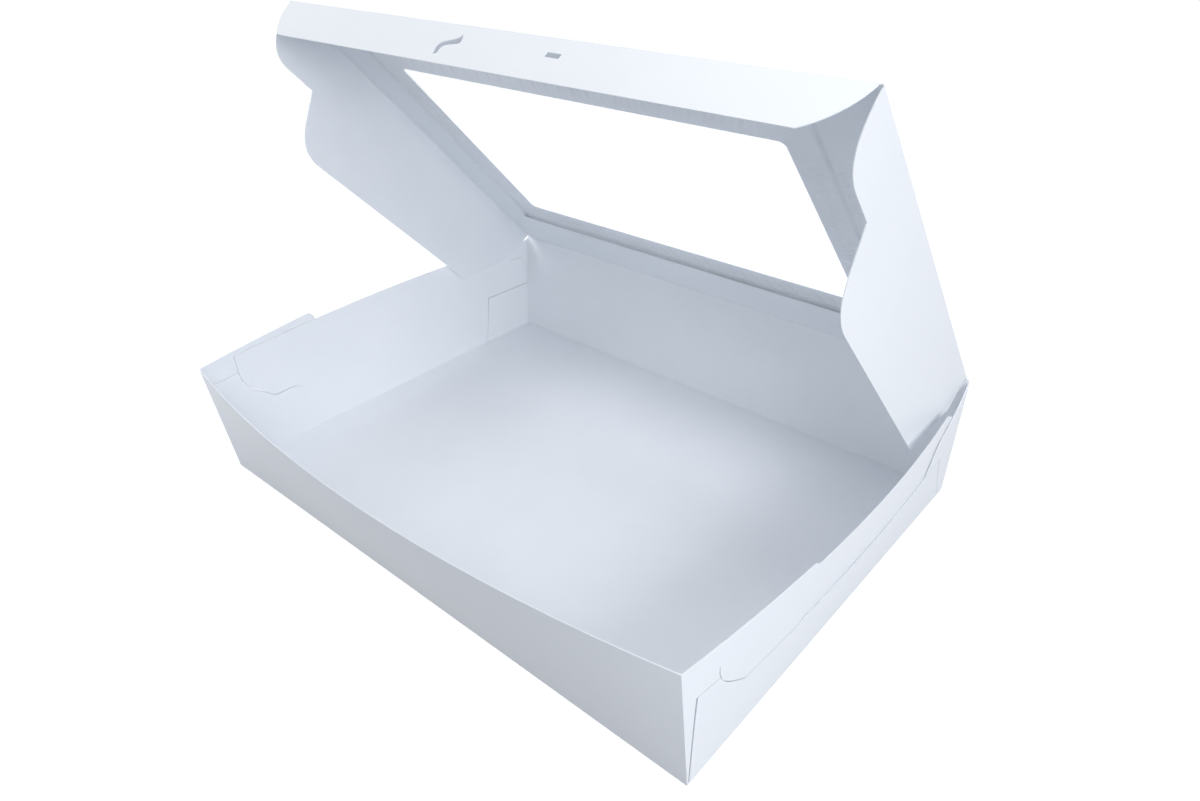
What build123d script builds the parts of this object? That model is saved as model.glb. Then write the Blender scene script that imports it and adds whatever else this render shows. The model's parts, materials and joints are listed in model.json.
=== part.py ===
from build123d import *
import math
import os

# Bakery window box, folded from one paperboard blank, with a film window glued under its lid.
# Millimetres, +Z up, +X to the right along the front, origin at the middle of the floor's underside.

# Board and film
board = 0.6
ply_gap = 0.3
film = 0.12

# Tray
tray_length = 483
tray_depth = 356
rim_height = 101.6
front_lean = 11
front_bow = 24
back_lean = 8
side_bow = 15
side_drop = 3.1
wall_overrun = 15
fold_gap = 0.3

# Lock corners, measured along the side from the tray's front fold
crease_height = 50
crease_band = 1.2
slit = 0.6
front_slit = 1.3
tongue_start = 1.6
tongue_setback = 1.4
tongue_height = 73
tongue_length = 22
hook_reach = 26
hook_rise = 10
hook_drop = 11
hook_lean = 2
hook_throat = 9
front_flap_length = 105
front_flap_rise = 4
front_flap_round = 7
jaw_length = 80
jaw_round = 17
side_panel_start = 21
side_panel_setback = 49
panel_end_drop = 18
panel_end_slope = 31
back_flap_length = 66
back_flap_slope = 27
back_flap_nose = 10
back_jaw_length = 62
heel_length = 10
heel_setback = 34

# Lid
lid_open = 47.9
lid_side_gap = 1.6
lid_front_gap = 15.4
window_side_margin = 70.4
window_back_margin = 88
window_front_margin = 63
window_radius = 5
film_margin = 33

# Side flaps of the lid, along the lid from its hinge and out from the fold
flap_front_gap = 1.2
front_lobe_depth = 41
front_lobe_round = 26
front_lobe_length = 51
side_lobe_round = 40
flap_floor_gap = 15
flap_back_rise = 4
flap_back_place = 50
flap_heel_place = 3
flap_heel_lean = 6
flap_heel_length = 32

# Front flap of the lid
front_fold_angle = 77.4
tuck_depth = 35
tuck_end_gap = 2
tuck_taper = 24
tuck_shoulder = 7
lock_place = 43
lock_depth = 15
lock_hook_width = 4
lock_hook_foot = 10.8
lock_hook_tip = 7.3
lock_hook_span = 9.5
slot_length = 11.6
slot_width = 4
slot_shift = 2.8

inner_ply = board + ply_gap
inner_face = inner_ply + board
half_length = tray_length / 2
between_plies = tray_length - 2 * board - ply_gap
side_height = rim_height - side_drop
side_panel_end = tray_depth - side_panel_setback
back_fold = tray_depth / 2 + back_lean
wall_reach = rim_height + wall_overrun
side_reach = 2 * side_bow + wall_overrun
ply_start = half_length - inner_face - fold_gap
flap_start = board + fold_gap
lid_width = tray_length - 2 * (inner_face + lid_side_gap)
lid_length = back_fold + tray_depth / 2 - board - lid_front_gap
window_width = lid_width - 2 * window_side_margin
window_length = lid_length - window_back_margin - window_front_margin
window_place = (0, -window_back_margin - window_length / 2)


def bowed_edge(start, middle, end, straight):
    """One edge of the tray's outline: straight along the floor, bowed above it."""
    if straight:
        return Line(start, end)
    return ThreePointArc(start, middle, end)


def outline_at(level, inset):
    """The outline of the walls at one height, moved in from their outer faces."""
    rise = level / rim_height
    half = half_length - inset
    front = -tray_depth / 2 - front_lean * rise + inset
    back = tray_depth / 2 + back_lean * rise - inset
    middle = (front + back) / 2
    side = half + side_bow * rise
    with BuildSketch(Plane.XY.offset(level)) as outline:
        with BuildLine():
            bowed_edge((-half, front), (0, front - front_bow * rise), (half, front), level == 0)
            bowed_edge((half, front), (side, middle), (half, back), level == 0)
            Line((half, back), (-half, back))
            bowed_edge((-half, back), (-side, middle), (-half, front), level == 0)
        make_face()
    return outline.sketch


def walls(outer_inset, inner_inset):
    """All four walls between two insets, ruled from the straight folds up to the bowed rim."""
    with BuildPart() as ring:
        outer = [outline_at(0, outer_inset), outline_at(wall_reach, outer_inset)]
        inner = [outline_at(0, inner_inset), outline_at(wall_reach, inner_inset)]
        loft(sections=outer, ruled=True)
        loft(sections=inner, ruled=True, mode=Mode.SUBTRACT)
    return ring.part


def side_plane(x):
    """A plane seen from the right: along the side from the front fold, and up."""
    return Plane(origin=(x, -tray_depth / 2, 0), x_dir=(0, 1, 0), z_dir=(1, 0, 0))


def front_edge_at(level):
    return -front_lean * level / rim_height


def back_edge_at(level):
    return tray_depth + back_lean * level / rim_height


# Points of the interlocking slit at a front corner, where flap and side panel change places
front_flap_top = rim_height + front_flap_rise
tongue_top = (tongue_start + tongue_setback, tongue_height)
tongue_corner = (tongue_length, tongue_height)
hook_top = (tongue_length - hook_lean, tongue_height + hook_rise)
hook_middle = (tongue_length + hook_throat, tongue_height - hook_drop)
hook_end = (tongue_length + hook_reach, crease_height)
back_flap_front = tray_depth - back_flap_length
back_flap_corner = (back_flap_front + back_flap_nose, crease_height + back_flap_slope)
heel_top = (tray_depth - heel_setback, crease_height)
heel_foot = (tray_depth - heel_length, board)
jaw_top = crease_height - crease_band - slit
panel_foot = crease_height - crease_band
panel_back = tray_depth - board - fold_gap
above = 2 * rim_height

# What the outer ply of a side leaves open: slits, and the panel's upper part, which lies further in
with BuildPart() as outer_openings:
    with BuildSketch(side_plane(half_length - board - ply_gap / 2)):
        with BuildLine():
            Line((tongue_start, board), tongue_top)
        trace(line_width=front_slit)
        with BuildLine():
            Line(tongue_top, tongue_corner)
        trace(line_width=slit)
        with BuildLine():
            Spline(hook_top, tongue_corner, hook_middle, hook_end)
        trace(line_width=slit)
        with BuildLine():
            Line(hook_end, (front_flap_length, crease_height))
        trace(line_width=slit)
        with BuildLine():
            Polyline((back_flap_front, crease_height), heel_top, heel_foot)
        trace(line_width=slit)
        with BuildLine():
            Polyline(
                (front_flap_length - front_flap_round, above),
                (front_flap_length - front_flap_round, front_flap_top),
            )
            RadiusArc(
                (front_flap_length - front_flap_round, front_flap_top),
                (front_flap_length, front_flap_top - front_flap_round),
                front_flap_round,
            )
            Polyline(
                (front_flap_length, front_flap_top - front_flap_round),
                (front_flap_length, crease_height),
                (back_flap_front, crease_height),
                back_flap_corner,
                (back_edge_at(side_height), side_height),
                (back_edge_at(above), above),
                (front_flap_length - front_flap_round, above),
            )
        make_face()
        with BuildLine():
            Polyline(
                (-side_reach, rim_height),
                (front_edge_at(rim_height), rim_height),
                (front_flap_length, front_flap_top),
                (front_flap_length, above),
                (-side_reach, above),
                close=True,
            )
        make_face()
    extrude(amount=side_reach)

# The inner ply of a side: the panel's upper part, and the lower jaws of both corner flaps
with BuildPart() as inner_sheets:
    with BuildSketch(side_plane(ply_start)):
        with BuildLine():
            Polyline(
                (hook_top[0] + slit, hook_top[1]),
                (side_panel_start, side_height),
                (side_panel_end, side_height),
                (side_panel_end + panel_end_slope, side_height - panel_end_drop),
                (panel_back, side_height - panel_end_drop - board),
                (panel_back, panel_foot),
                (hook_end[0] + slit, panel_foot),
                (hook_middle[0] + slit, hook_middle[1]),
                (tongue_corner[0] + slit, tongue_corner[1]),
                close=True,
            )
        make_face()
        with BuildLine():
            Polyline(
                (jaw_length, jaw_top - jaw_round),
                (jaw_length, 0),
                (board, 0),
                (front_edge_at(hook_top[1]) + board, hook_top[1]),
                (hook_top[0] - slit, hook_top[1]),
                (tongue_corner[0] - slit, tongue_corner[1]),
                (hook_middle[0] - slit, hook_middle[1]),
                (hook_end[0] - slit, jaw_top),
                (jaw_length - jaw_round, jaw_top),
            )
            RadiusArc((jaw_length - jaw_round, jaw_top), (jaw_length, jaw_top - jaw_round), jaw_round)
        make_face()
        with BuildLine():
            Polyline(
                (tray_depth - back_jaw_length, 0),
                (tray_depth - back_jaw_length + heel_length, jaw_top),
                (back_edge_at(jaw_top) - board, jaw_top),
                (tray_depth - board, 0),
                close=True,
            )
        make_face()
    extrude(amount=side_reach)
    add(walls(inner_ply, inner_face), mode=Mode.INTERSECT)

# Where a sheet passes from one ply to the other: both corner folds, the side crease and the tongue
with BuildPart() as ply_bridges:
    with BuildSketch(side_plane(ply_start)):
        with BuildLine():
            Polyline(
                (0, 0),
                (front_edge_at(rim_height), rim_height),
                (front_edge_at(rim_height) + inner_ply, rim_height),
                (inner_ply, 0),
                close=True,
            )
        make_face()
        with BuildLine():
            Polyline(
                (tray_depth, 0),
                (back_edge_at(side_height), side_height),
                (back_edge_at(side_height) - inner_ply, side_height),
                (tray_depth - inner_ply, 0),
                close=True,
            )
        make_face()
        with BuildLine():
            Polyline(
                (hook_end[0] + slit, panel_foot),
                (heel_top[0] - slit, panel_foot),
                (heel_top[0] - slit, crease_height - slit / 2),
                (hook_end[0] + slit, crease_height - slit / 2),
                close=True,
            )
        make_face()
        with BuildLine():
            Polyline(
                (0, tongue_height + slit / 2),
                (tongue_length - slit, tongue_height + slit / 2),
                (tongue_length - slit, tongue_height + slit / 2 + crease_band),
                (0, tongue_height + slit / 2 + crease_band),
                close=True,
            )
        make_face()
    extrude(amount=side_reach)
    add(walls(0, inner_face), mode=Mode.INTERSECT)

# Floor and walls with their lock corners: the whole lower half of the blank
with BuildPart() as tray:
    add(walls(0, board))
    with BuildSketch(Plane.XY):
        Rectangle(tray_length - board, tray_depth - board)
    extrude(amount=board)
    with BuildSketch(Plane.XY.offset(rim_height)):
        with Locations((0, -tray_depth / 2)):
            Rectangle(between_plies, tray_depth)
    extrude(amount=rim_height, mode=Mode.SUBTRACT)
    with BuildSketch(Plane.XY.offset(rim_height - flap_start)):
        with Locations((0, back_fold)):
            Rectangle(between_plies, tray_depth)
    extrude(amount=rim_height, mode=Mode.SUBTRACT)
    add(outer_openings.part, mode=Mode.SUBTRACT)
    mirror(outer_openings.part, about=Plane.YZ, mode=Mode.SUBTRACT)
    add(inner_sheets.part)
    mirror(inner_sheets.part, about=Plane.YZ)
    add(ply_bridges.part)
    mirror(ply_bridges.part, about=Plane.YZ)
tray.part.label = "tray"


def sheet_plane(origin, angle):
    """The outer face of a sheet that leaves a fold along X; it lies along the plane's -Y."""
    turn = math.radians(angle)
    return Plane(origin=origin, x_dir=(1, 0, 0), z_dir=(0, math.sin(turn), math.cos(turn)))


lid_plane = sheet_plane((0, back_fold, rim_height), lid_open)
front_fold_origin = lid_plane.from_local_coords(Vector(0, -lid_length, 0))
tuck_plane = sheet_plane(front_fold_origin, lid_open - front_fold_angle)

# The side flap on the lid's right edge: two lobes with a notch between them. Its heel is nearly square
# to the fold, so that it covers the notch behind the side panel, and then slants to the back corner.
lid_turn = math.radians(lid_open)
flap_plane = Plane(
    origin=(lid_width / 2, back_fold, rim_height),
    x_dir=(0, -math.cos(lid_turn), math.sin(lid_turn)),
    z_dir=(1, 0, 0),
)
with BuildPart() as side_flap:
    with BuildSketch(flap_plane.offset(-board)):
        flap_front = lid_length - flap_front_gap
        notch_place = flap_front - front_lobe_length
        side_lobe_depth = rim_height - board - flap_floor_gap
        front_corner = (flap_front, 0)
        front_lobe = (flap_front - front_lobe_round, front_lobe_depth)
        notch = (notch_place, front_lobe_depth)
        side_lobe = (notch_place - side_lobe_round, side_lobe_depth)
        with BuildLine():
            Line((flap_heel_place, 0), front_corner)
            Spline(front_corner, front_lobe, tangents=((0, 1), (-1, 0)))
            Line(front_lobe, notch)
            Spline(notch, side_lobe, tangents=((-1, 2), (-1, 0)))
            Polyline(
                side_lobe,
                (flap_back_place, side_lobe_depth - flap_back_rise),
                (flap_heel_place + flap_heel_lean, flap_heel_length),
                (flap_heel_place, 0),
            )
        make_face()
    extrude(amount=board)

# The lid: a flat panel with a rounded window, and its two side flaps folded square to it
with BuildPart() as lid_panel:
    with BuildSketch(lid_plane.offset(-board)):
        with Locations((0, -lid_length / 2)):
            Rectangle(lid_width, lid_length)
        with Locations(window_place):
            RectangleRounded(window_width, window_length, window_radius, mode=Mode.SUBTRACT)
    extrude(amount=board)
    add(side_flap.part)
    mirror(side_flap.part, about=Plane.YZ)
lid_panel.part.label = "lid_panel"

# The clear film, glued all round the window's underside
with BuildPart() as window_film:
    with BuildSketch(lid_plane.offset(-board - film)):
        with Locations(window_place):
            Rectangle(window_width + 2 * film_margin, window_length + 2 * film_margin)
    extrude(amount=film)
window_film.part.label = "window_film"


def hooked_slit():
    """An S lying across the flap: a wide blunt foot, a level middle, and a tip as thin as a cut."""
    half_width = lock_hook_width / 2
    foot_left = (-lock_hook_width, -lock_hook_foot)
    foot_right = (0, -lock_hook_foot)
    tip = (lock_hook_span - half_width, lock_hook_tip)
    with BuildSketch() as slit_shape:
        with BuildLine():
            Spline(foot_left, (-lock_hook_width, -half_width), (half_width, half_width / 2), tip)
            Spline(tip, (lock_hook_span, -half_width), (half_width, -lock_hook_width), foot_right)
            RadiusArc(foot_right, foot_left, half_width)
        make_face()
    return slit_shape.sketch


# The tuck flap along the lid's front, with its hooked slit and its slot
with BuildPart() as front_flap:
    with BuildSketch(tuck_plane.offset(-board)):
        fold_end = lid_width / 2 - tuck_end_gap
        edge_end = lid_width / 2 - tuck_end_gap - tuck_taper
        with BuildLine():
            Line((-fold_end, -flap_start), (fold_end, -flap_start))
            ThreePointArc(
                (fold_end, -flap_start),
                (fold_end - tuck_shoulder, -tuck_depth / 2),
                (edge_end, -tuck_depth),
            )
            Line((edge_end, -tuck_depth), (-edge_end, -tuck_depth))
            ThreePointArc(
                (-edge_end, -tuck_depth),
                (-fold_end + tuck_shoulder, -tuck_depth / 2),
                (-fold_end, -flap_start),
            )
        make_face()
        with Locations((-lock_place, -lock_depth)):
            add(hooked_slit(), mode=Mode.SUBTRACT)
        with Locations((lock_place + slot_shift, -lock_depth + slot_width / 4)):
            Rectangle(slot_length, slot_width, mode=Mode.SUBTRACT)
    extrude(amount=board)
front_flap.part.label = "front_flap"

os.makedirs("parts", exist_ok=True)
for piece in (tray, lid_panel, window_film, front_flap):
    export_step(piece.part, f"parts/{piece.part.label}.step")
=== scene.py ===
import json
import math

import bmesh
import bpy
from mathutils import Matrix, Vector, noise

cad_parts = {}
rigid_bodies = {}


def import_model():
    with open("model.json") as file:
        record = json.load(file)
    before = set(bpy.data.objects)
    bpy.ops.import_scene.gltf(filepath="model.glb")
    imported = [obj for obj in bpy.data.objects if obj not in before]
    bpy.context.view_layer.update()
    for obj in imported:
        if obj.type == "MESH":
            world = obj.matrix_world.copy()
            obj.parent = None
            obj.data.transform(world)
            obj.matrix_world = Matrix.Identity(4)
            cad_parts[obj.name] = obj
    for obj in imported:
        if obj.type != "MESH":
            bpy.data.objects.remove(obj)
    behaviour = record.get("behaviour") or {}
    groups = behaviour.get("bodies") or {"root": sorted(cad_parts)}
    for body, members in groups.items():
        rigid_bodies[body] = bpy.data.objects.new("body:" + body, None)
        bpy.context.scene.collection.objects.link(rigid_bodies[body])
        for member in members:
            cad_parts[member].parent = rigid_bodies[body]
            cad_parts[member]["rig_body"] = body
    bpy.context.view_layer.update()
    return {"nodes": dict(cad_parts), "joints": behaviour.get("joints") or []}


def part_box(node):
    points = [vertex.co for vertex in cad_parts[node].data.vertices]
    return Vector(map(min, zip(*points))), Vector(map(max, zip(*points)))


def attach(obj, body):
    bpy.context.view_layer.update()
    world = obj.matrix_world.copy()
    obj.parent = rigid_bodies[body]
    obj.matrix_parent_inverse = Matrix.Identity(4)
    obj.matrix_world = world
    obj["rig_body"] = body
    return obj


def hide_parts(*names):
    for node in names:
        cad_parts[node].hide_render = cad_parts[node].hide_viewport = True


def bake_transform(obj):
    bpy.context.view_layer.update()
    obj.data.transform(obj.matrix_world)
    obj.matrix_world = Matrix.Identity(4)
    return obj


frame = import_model()

# Lengths are in metres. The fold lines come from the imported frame. The board's thickness and the gap that
# the solids leave at a fold repeat the source's own.
joints = {joint["name"]: joint for joint in frame["joints"]}
lid_fold = Vector(joints["lid_hinge"]["pos_m"])
front_fold = Vector(joints["front_fold"]["pos_m"])
board = 0.0006
fold_gap = 0.0003
fold_space = board + fold_gap

across = Vector((1, 0, 0))
up_lid = (front_fold - lid_fold).normalized()
lid_out = up_lid.cross(across)
half_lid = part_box("lid_panel")[1].x
half_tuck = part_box("front_flap")[1].x


# Materials

# A Mix node's colour sockets share their names with its other sockets, so they go by number.
mix_factor, mix_first, mix_second, mix_result = 0, 6, 7, 2


class Term:
    """A node's socket in an expression: + and * add Math nodes."""

    def __init__(self, nodes, socket):
        self.nodes = nodes
        self.socket = socket

    def math(self, operation, other):
        return self.nodes.add("ShaderNodeMath", {"operation": operation}, {0: self, 1: other})

    def __add__(self, other):
        return self.math("ADD", other)

    __radd__ = __add__

    def __mul__(self, other):
        return self.math("MULTIPLY", other)

    __rmul__ = __mul__


class Nodes:
    """A node tree, with one method that adds any node."""

    def __init__(self, tree):
        self.tree = tree

    def add(self, kind, settings=None, inputs=None, output=0):
        """Settings are set first. The result is the chosen output, or nothing for a node that has none."""
        made = self.tree.nodes.new(kind)
        for name, value in (settings or {}).items():
            setattr(made, name, value)
        for socket, value in (inputs or {}).items():
            self.feed(made.inputs[socket], value)
        return Term(self, made.outputs[output]) if made.outputs else None

    def feed(self, socket, value):
        if isinstance(value, Term):
            self.tree.links.new(value.socket, socket)
        else:
            socket.default_value = value

    def white_where_seen(self, lit, white):
        """A lit shader, with a white one for what the camera, gloss and clear film see directly."""
        seen = self.add("ShaderNodeLightPath", output="Is Camera Ray")
        for ray in ("Is Glossy Ray", "Is Transmission Ray"):
            seen = seen.math("MAXIMUM", self.add("ShaderNodeLightPath", output=ray))
        return self.add("ShaderNodeMixShader", inputs={0: seen, 1: lit, 2: white})


class Finish(Nodes):
    """A material with one shader. A socket's spaces are written as underscores."""

    def __init__(self, name, **sockets):
        self.material = bpy.data.materials.new(name)
        self.material.use_nodes = True
        super().__init__(self.material.node_tree)
        self.shader = self.tree.nodes["Principled BSDF"]
        self.set(**sockets)

    def set(self, **sockets):
        for socket, value in sockets.items():
            self.feed(self.shader.inputs[socket.replace("_", " ")], value)

    def cloud(self, scale, detail, roughness=0.5, stretch=(1, 1, 1)):
        """Cloudy noise from 0 to 1, with scale features to the metre."""
        place = self.add("ShaderNodeTexCoord", output="Object")
        stretched = self.add("ShaderNodeMapping", inputs={"Vector": place, "Scale": stretch})
        return self.add(
            "ShaderNodeTexNoise",
            inputs={"Vector": stretched, "Scale": scale, "Detail": detail, "Roughness": roughness},
        )

    def painted(self, name):
        """A mask from 0 to 1 that the piece's own mesh carries as an attribute."""
        return self.add("ShaderNodeAttribute", {"attribute_name": name}, output="Fac")

    def blend_colours(self, factor, first, second):
        """The first colour where the factor is 0, and the second where it is 1."""
        first, second = (
            colour if isinstance(colour, Term) else (*colour, 1) for colour in (first, second)
        )
        return self.add(
            "ShaderNodeMix",
            {"data_type": "RGBA"},
            {mix_factor: factor, mix_first: first, mix_second: second},
            mix_result,
        )

    def relief(self, pattern, height, strength):
        bump = self.add(
            "ShaderNodeBump", inputs={"Height": pattern, "Distance": height, "Strength": strength}
        )
        self.set(Normal=bump)


board_ior = 1.46
film_ior = 1.45
fibre_stretch = (1, 1.6, 1)
drag_stretch = (1, 0.15, 0.15)

coating_shade, coating_light = (0.79, 0.825, 0.875), (0.835, 0.865, 0.91)
# The inside's colours are brighter than the outside's: painted light that lifts the shaded inside of the
# tray and lid.
inside_painted_light_low, inside_painted_light_high = (0.92, 0.93, 0.95), (0.95, 0.958, 0.972)
fibre_shade, fibre_light = (0.84, 0.855, 0.87), (0.93, 0.94, 0.95)
film_shade, film_light = (0.86, 0.89, 0.94), (0.96, 0.98, 1.0)
# A painted highlight for the film's wrinkle crests, and the grey of its glue line, which also paints shade
# into the wrinkles' troughs.
painted_crest_highlight = (1.0, 1.0, 1.0)
glue_and_trough_shade_grey = (0.50, 0.54, 0.60)


def coated_board():
    """The outside, clay-coated and white: a faint cool mottle, fine fibre under the coating, a sheen."""
    finish = Finish("coated_board", IOR=board_ior, Coat_Roughness=0.28)
    mottle = finish.cloud(scale=22, detail=4)
    fibre = finish.cloud(scale=700, detail=3, roughness=0.6, stretch=fibre_stretch)
    finish.set(
        Base_Color=finish.blend_colours(mottle, coating_shade, coating_light),
        Roughness=0.36 + 0.14 * mottle,
        Coat_Weight=0.08 + 0.1 * mottle,
    )
    finish.relief(fibre, height=0.00004, strength=0.35)
    return finish.material


def inner_board_painted_light():
    """The inside, brighter and less cool than the outside as painted light for the shaded inside of the
    tray and lid: a thin satin coat, a cloudy formation, fine fibre.
    """
    finish = Finish("inner_board_painted_light", IOR=board_ior, Coat_Roughness=0.35)
    formation = finish.cloud(scale=30, detail=5, roughness=0.6)
    fibre = finish.cloud(scale=900, detail=3, roughness=0.65, stretch=fibre_stretch)
    finish.set(
        Base_Color=finish.blend_colours(formation, inside_painted_light_low, inside_painted_light_high),
        Roughness=0.40 + 0.14 * formation,
        Coat_Weight=0.10 + 0.1 * formation,
    )
    finish.relief(fibre, height=0.00006, strength=0.35)
    return finish.material


def cut_edge():
    """The raw cut through the board: uncoated white fibre, rough."""
    finish = Finish("cut_edge", Roughness=0.85)
    fibre = finish.cloud(scale=1500, detail=2)
    finish.set(Base_Color=finish.blend_colours(fibre, fibre_shade, fibre_light))
    finish.relief(fibre, height=0.00008, strength=0.6)
    return finish.material


def clear_film():
    """Thin clear film: almost nothing but its gloss, with faint drag lines. It greys over the glue line,
    has painted shade in the troughs of its wrinkles and a painted highlight on their crests."""
    finish = Finish("clear_film", IOR=film_ior)
    drag = finish.cloud(scale=60, detail=3, stretch=drag_stretch)
    # The glue mask also carries painted shade in the wrinkles' troughs; the crest mask carries a painted
    # highlight on their crests.
    glue = finish.painted("glue")
    crest = finish.painted("crest")
    plain = finish.blend_colours(drag, film_shade, film_light)
    with_crest_highlight = finish.blend_colours(crest, plain, painted_crest_highlight)
    finish.set(
        Base_Color=finish.blend_colours(glue, with_crest_highlight, glue_and_trough_shade_grey),
        Roughness=0.05 + 0.14 * drag + 0.2 * crest,
        Alpha=0.012 + 0.02 * drag + 0.42 * crest + 0.34 * glue,
    )
    return finish.material


BOARD = coated_board()
INNER = inner_board_painted_light()
EDGE = cut_edge()
FILM = clear_film()

# Board pieces

smooth_limit = math.radians(25)
widest_cut_edge = 1.3 * board
board_finishes = (BOARD, EDGE, INNER)
OUTSIDE, CUT, INSIDE = range(3)


def add_object(name, data):
    """A new object at the origin for a mesh, a lamp or a camera."""
    added = bpy.data.objects.new(name, data)
    bpy.context.scene.collection.objects.link(added)
    return added


def board_copy(node, name, middle):
    """The node's own shape as one closed mesh: bowed faces shade smoothly, cut edges show raw fibre.
    The node folds round a point, its middle, and the faces that look at it are its inside."""
    mesh = frame["nodes"][node].data.copy()
    mesh.name = name
    shape = bmesh.new()
    shape.from_mesh(mesh)
    bmesh.ops.remove_doubles(shape, verts=shape.verts, dist=1e-6)
    bmesh.ops.recalc_face_normals(shape, faces=shape.faces)
    for edge in shape.edges:
        edge.smooth = len(edge.link_faces) == 2 and edge.calc_face_angle(math.pi) < smooth_limit
    for face in shape.faces:
        face.smooth = True
    mark_cut_edges(shape)
    mark_inside(shape, middle)
    shape.to_mesh(mesh)
    shape.free()
    mesh.materials.clear()
    for finish in board_finishes:
        mesh.materials.append(finish)
    piece = add_object(name, mesh)
    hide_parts(node)
    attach(piece, frame["nodes"][node]["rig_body"])


def mark_cut_edges(shape):
    """Faces no wider than the board, walked from smooth neighbour to smooth neighbour, are cut edges."""
    done = set()
    for seed in shape.faces:
        if seed.index in done:
            continue
        done.add(seed.index)
        strip = []
        waiting = [seed]
        while waiting:
            face = waiting.pop()
            strip.append(face)
            for edge in face.edges:
                if not edge.smooth:
                    continue
                for other in edge.link_faces:
                    if other.index not in done:
                        done.add(other.index)
                        waiting.append(other)
        area = sum(face.calc_area() for face in strip)
        rim = sum(edge.calc_length() for face in strip for edge in face.edges if not edge.smooth)
        narrow = rim > 0 and 2 * area / rim < widest_cut_edge
        for face in strip:
            face.material_index = CUT if narrow else OUTSIDE


def mark_inside(shape, middle):
    for face in shape.faces:
        inwards = face.normal.dot(middle - face.calc_center_median()) > 0
        if face.material_index == OUTSIDE and inwards:
            face.material_index = INSIDE


tray_middle_height = 0.06
lid_middle_up = 0.17
lid_middle_under = 0.04
tray_middle = Vector((0, 0, tray_middle_height))
lid_middle = lid_fold + up_lid * lid_middle_up - lid_out * lid_middle_under

for node, middle in (("tray", tray_middle), ("lid_panel", lid_middle), ("front_flap", lid_middle)):
    board_copy(node, node + "_board", middle)

# Creases

crease_steps = 6


def crease(name, first, second, ends):
    """The board's own thickness carried round a fold, from one panel's edge to the next panel's edge.
    first and second are (outer, inner) offsets from the fold line; ends are the fold line's ends."""
    start, end = ends
    along = end - start
    shape = bmesh.new()
    rows = []
    for step in range(crease_steps + 1):
        share = step / crease_steps
        outer = first[0].lerp(second[0], share)
        inner = first[1].lerp(second[1], share)
        rows.append([shape.verts.new(start + offset + along * side)
                     for offset in (outer, inner) for side in (0, 1)])
    for low, high in zip(rows, rows[1:]):
        shape.faces.new((low[0], low[1], high[1], high[0]))
        shape.faces.new((low[3], low[2], high[2], high[3]))
        shape.faces.new((low[2], low[0], high[0], high[2]))
        shape.faces.new((low[1], low[3], high[3], high[1]))
    shape.faces.new(rows[0][corner] for corner in (0, 2, 3, 1))
    shape.faces.new(rows[-1][corner] for corner in (0, 1, 3, 2))
    bmesh.ops.recalc_face_normals(shape, faces=shape.faces)
    mesh = bpy.data.meshes.new(name)
    shape.to_mesh(mesh)
    shape.free()
    mesh.materials.append(BOARD)
    piece = add_object(name, mesh)
    middle = (start + end) / 2
    middle + (first[0] + first[1]) / 2
    middle + (second[0] + second[1]) / 2
    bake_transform(piece)


back_wall_foot = 0.178
wall_up = Vector((0, lid_fold.y - back_wall_foot, lid_fold.z)).normalized()
wall_out = Vector((0, wall_up.z, -wall_up.y))
front_fold_angle = math.radians(joints["front_fold"]["range_deg"][1])
tuck_down = Matrix.Rotation(front_fold_angle, 3, "X") @ up_lid
tuck_out = tuck_down.cross(across)

at_fold = Vector((0, 0, 0))
lid_edge = (at_fold, -lid_out * board)
wall_edge = (-wall_up * fold_space, -wall_up * fold_space - wall_out * board)
tuck_edge = (tuck_down * fold_space, tuck_down * fold_space - tuck_out * board)
lid_fold_ends = (lid_fold - across * half_lid, lid_fold + across * half_lid)
front_fold_ends = (front_fold - across * half_tuck, front_fold + across * half_tuck)

crease("hinge_crease", wall_edge, lid_edge, lid_fold_ends)
crease("tuck_crease", lid_edge, tuck_edge, front_fold_ends)

# Film

film_step = 0.0022
stuck_width = 0.033

# The glue line: how far in it lies, its half width, how far it strays and how thick it stands. Along the
# film's back and front it is faint.
glue_inset = 0.0095
glue_reach = 0.0026
glue_stray = 0.0008
glue_height = 0.0003
glue_level, glue_change = 0.75, 0.25
faint_glue = 0.15

# The wrinkles: two bands, each given as its middle and its reach, one outside the glue line and one inside
# it. They are strong only on the right, and fade out before the corners.
outer_band = (0.4 * glue_inset, 0.6 * glue_inset)
inner_band = (0.62 * stuck_width, 0.36 * stuck_width)
wrinkle_height = 0.00042
wrinkle_length = 0.0115
wrinkle_slant = 0.4
wrinkle_stray = 0.004
corner_fade = 0.03
faint_wrinkles = 0.4
least_wrinkled, most_more = 0.35, 0.65
# How strong the painted shade in the wrinkles' troughs is.
painted_trough_shade = 0.5

# The slack over the window, which grows to its whole height over a short way in.
slack_height = 0.0003
slack_rise = 0.02

# Noise cells to the metre, and a seed for each noise.
glue_bends, glue_bends_seed = 30, (3, 0)
glue_patches, glue_patches_seed = 90, (7, 0)
groups_along, groups_inwards, group_seed_beside, group_seed_ends = 18, 40, 11, 23
bends_along, bends_inwards, bends_seed = 25, 20, 5
slack_cells, slack_seed = 14, 31


def stray(*place):
    """Smooth noise from about -1 to 1, at a place in noise cells."""
    return noise.noise(Vector(place))


def from_zero(value):
    """Takes a value from -1 to 1 to its place from 0 to 1."""
    return 0.5 + 0.5 * value


def near(value, middle, reach):
    """1 at the middle and 0 from reach away, with a smooth fall between."""
    share = max(0.0, 1 - abs(value - middle) / reach)
    return share * share * (3 - 2 * share)


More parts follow.
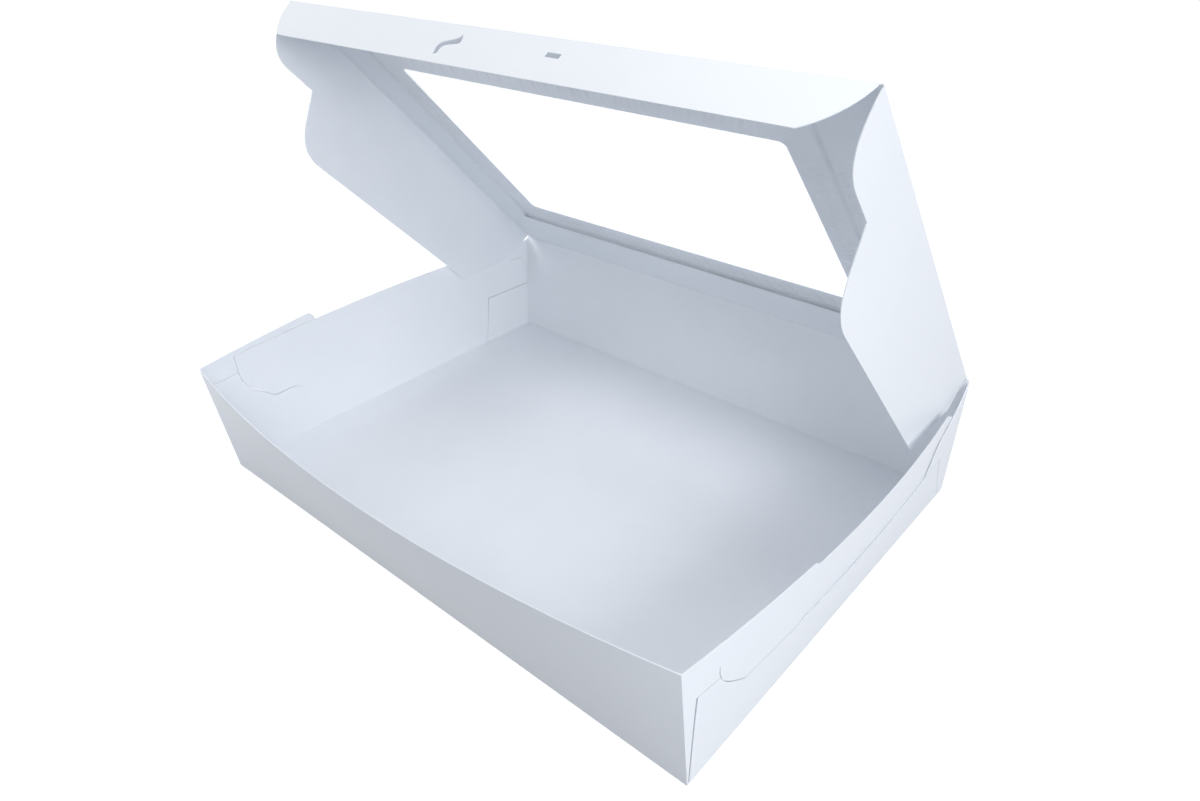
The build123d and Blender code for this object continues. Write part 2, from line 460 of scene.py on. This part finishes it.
def film_wear(side, back, front, right, up):
    """How far the film stands off the board, how grey it is over glue, and how much painted shade its
    wrinkles' troughs and painted highlight their crests get.
    side, back and front are distances inwards from the film's edges; right and up are its place."""
    inset = min(side, back, front)
    beside = side == inset
    run = up if beside else right

    glue_middle = glue_inset + glue_stray * stray(run * glue_bends, *glue_bends_seed)
    glue = near(inset, glue_middle, glue_reach)
    glue *= (
        (glue_level + glue_change * stray(run * glue_patches, *glue_patches_seed))
        * (1.0 if beside else faint_glue)
    )

    stuck = near(inset, *outer_band) + near(inset, *inner_band)
    group_seed = group_seed_beside if beside else group_seed_ends
    patchy = from_zero(stray(run * groups_along, inset * groups_inwards, group_seed))
    from_corner = min(back, front) if beside else side
    fade = min(1.0, max(0.0, from_corner - stuck_width) / corner_fade)
    strongest = 1.0 if beside and right > 0 else faint_wrinkles
    strength = strongest * fade * (least_wrinkled + most_more * patchy)
    bend = wrinkle_stray * stray(run * bends_along, inset * bends_inwards, bends_seed)
    wave = math.sin(2 * math.pi * (run + wrinkle_slant * inset + bend) / wrinkle_length)
    # The crests get a painted highlight and the troughs a painted shade, which rides on the glue mask.
    crest = max(0.0, wave) ** 2 * stuck * strength
    trough = max(0.0, -wave) * stuck * strength

    height = stuck * strength * wrinkle_height * from_zero(wave) + glue * glue_height
    if inset > stuck_width:
        slack = from_zero(stray(right * slack_cells, up * slack_cells, slack_seed))
        height += slack_height * slack * min(1.0, (inset - stuck_width) / slack_rise)
    return height, glue + painted_trough_shade * trough, crest


def film_sheet():
    """The film as one thin closed sheet: slack over the window, wrinkled where it is glued to the board.
    Its underside carries the glue mask, which also holds the troughs' painted shade, and the crest mask for
    a painted highlight."""
    cad = frame["nodes"]["window_film"].data
    ups = [(corner.co - lid_fold).dot(up_lid) for corner in cad.vertices]
    outs = [(corner.co - lid_fold).dot(lid_out) for corner in cad.vertices]
    half = max(corner.co.x for corner in cad.vertices)
    low, high, inside, outside = min(ups), max(ups), min(outs), max(outs)
    columns = round(2 * half / film_step)
    rows = round((high - low) / film_step)
    shape = bmesh.new()
    marks = {name: shape.verts.layers.float.new(name) for name in ("glue", "crest")}
    grids = []
    for level in (inside, outside):
        grid = []
        for row in range(rows + 1):
            up = low + (high - low) * row / rows
            line = []
            for column in range(columns + 1):
                right = -half + 2 * half * column / columns
                side, back, front = half - abs(right), up - low, high - up
                height, glue, crest = film_wear(side, back, front, right, up)
                held = level == outside and min(side, back, front) < stuck_width
                off = level - (0 if held else height)
                corner = shape.verts.new(lid_fold + across * right + up_lid * up + lid_out * off)
                corner[marks["glue"]] = glue if level == inside else 0
                corner[marks["crest"]] = min(1.0, crest) if level == inside else 0
                line.append(corner)
            grid.append(line)
        grids.append(grid)
        for first, second in zip(grid, grid[1:]):
            for place in range(columns):
                shape.faces.new((first[place], first[place + 1], second[place + 1], second[place]))
    under, over = grids
    rims = [(under[0], over[0]), (under[-1], over[-1]),
            ([line[0] for line in under], [line[0] for line in over]),
            ([line[-1] for line in under], [line[-1] for line in over])]
    for below, above in rims:
        for place in range(len(below) - 1):
            shape.faces.new((below[place], below[place + 1], above[place + 1], above[place]))
    bmesh.ops.recalc_face_normals(shape, faces=shape.faces)
    for face in shape.faces:
        face.smooth = True
    for edge in shape.edges:
        edge.smooth = edge.calc_face_angle(math.pi) < smooth_limit
    mesh = bpy.data.meshes.new("window_film_sheet")
    shape.to_mesh(mesh)
    shape.free()
    mesh.materials.append(FILM)
    piece = add_object("window_film_sheet", mesh)
    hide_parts("window_film")
    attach(piece, frame["nodes"]["window_film"]["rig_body"])


film_sheet()

# Stage, light and camera

fill_colour = (0.93, 0.96, 1.0, 1)
fill_strength = 0.385
plain_white = (1, 1, 1, 1)
floor_colour = (0.30, 0.32, 0.355, 1)
floor_glow = 0.84
floor_reach = 6.0
floor_gap = 0.0005


def white_world():
    """White where it is seen, and a soft cool fill everywhere else."""
    world = bpy.data.worlds.new("white_world")
    world.use_nodes = True
    world.node_tree.nodes.clear()
    nodes = Nodes(world.node_tree)
    fill = nodes.add("ShaderNodeBackground", inputs={"Color": fill_colour, "Strength": fill_strength})
    white = nodes.add("ShaderNodeBackground", inputs={"Color": plain_white})
    nodes.add("ShaderNodeOutputWorld", inputs={"Surface": nodes.white_where_seen(fill, white)})
    bpy.context.scene.world = world


def pale_floor():
    """A pale floor that the camera sees near white, with the box's own soft shadow on it."""
    reach = floor_reach
    corners = [(-reach, -reach, 0), (reach, -reach, 0), (reach, reach, 0), (-reach, reach, 0)]
    mesh = bpy.data.meshes.new("floor")
    mesh.from_pydata(corners, [], [(0, 1, 2, 3)])
    floor = add_object("floor", mesh)
    floor.location.z = -floor_gap
    finish = Finish("floor_paper", Roughness=0.9, Base_Color=floor_colour)
    lit = Term(finish, finish.shader.outputs[0])
    glow = finish.add("ShaderNodeEmission", inputs={"Strength": floor_glow})
    glowing = finish.add("ShaderNodeAddShader", inputs={0: lit, 1: glow})
    surface = finish.tree.nodes["Material Output"].inputs["Surface"]
    finish.feed(surface, finish.white_where_seen(lit, glowing))
    mesh.materials.append(finish.material)


def soft_lamp(name, place, aim, size, watts):
    lamp = bpy.data.lights.new(name, "AREA")
    lamp.shape = "RECTANGLE"
    lamp.size, lamp.size_y = size
    lamp.energy = watts
    holder = add_object(name, lamp)
    holder.location = place
    holder.rotation_euler = (Vector(aim) - Vector(place)).to_track_quat("-Z", "Y").to_euler()


def photo_camera():
    """The photograph's own viewpoint, found from the tray's and lid's corners."""
    image_width = 1200
    focal_pixels = 870.7
    place = Vector((0.4083, -0.4346, 0.4474))
    right = Vector((0.7557, 0.65471, -0.01646))
    down = Vector((0.33596, -0.40911, -0.84839))
    forward = Vector((-0.56218, 0.6356, -0.52912))
    camera = bpy.data.cameras.new("photo_camera")
    camera.sensor_width = 36
    camera.lens = focal_pixels * camera.sensor_width / image_width
    camera.clip_start = 0.01
    holder = add_object("photo_camera", camera)
    turn = Matrix((right, -down, -forward)).transposed()
    holder.matrix_world = Matrix.Translation(place) @ turn.to_4x4()
    bpy.context.scene.camera = holder


white_world()
pale_floor()
soft_lamp("overhead", place=(0, 0.12, 1.3), aim=(0, 0.05, 0), size=(1.1, 0.9), watts=5.4)
soft_lamp("behind", place=(0.1, 0.8, 0.95), aim=(0, 0, 0.1), size=(0.7, 0.5), watts=2.5)
soft_lamp("left", place=(-0.95, -0.3, 0.36), aim=(0, 0.12, 0.15), size=(0.6, 0.5), watts=4.6)
soft_lamp("right", place=(1.2, -0.5, 0.65), aim=(0, 0.05, 0.1), size=(0.7, 0.6), watts=10.5)
photo_camera()
bpy.context.scene.view_settings.view_transform = "Standard"
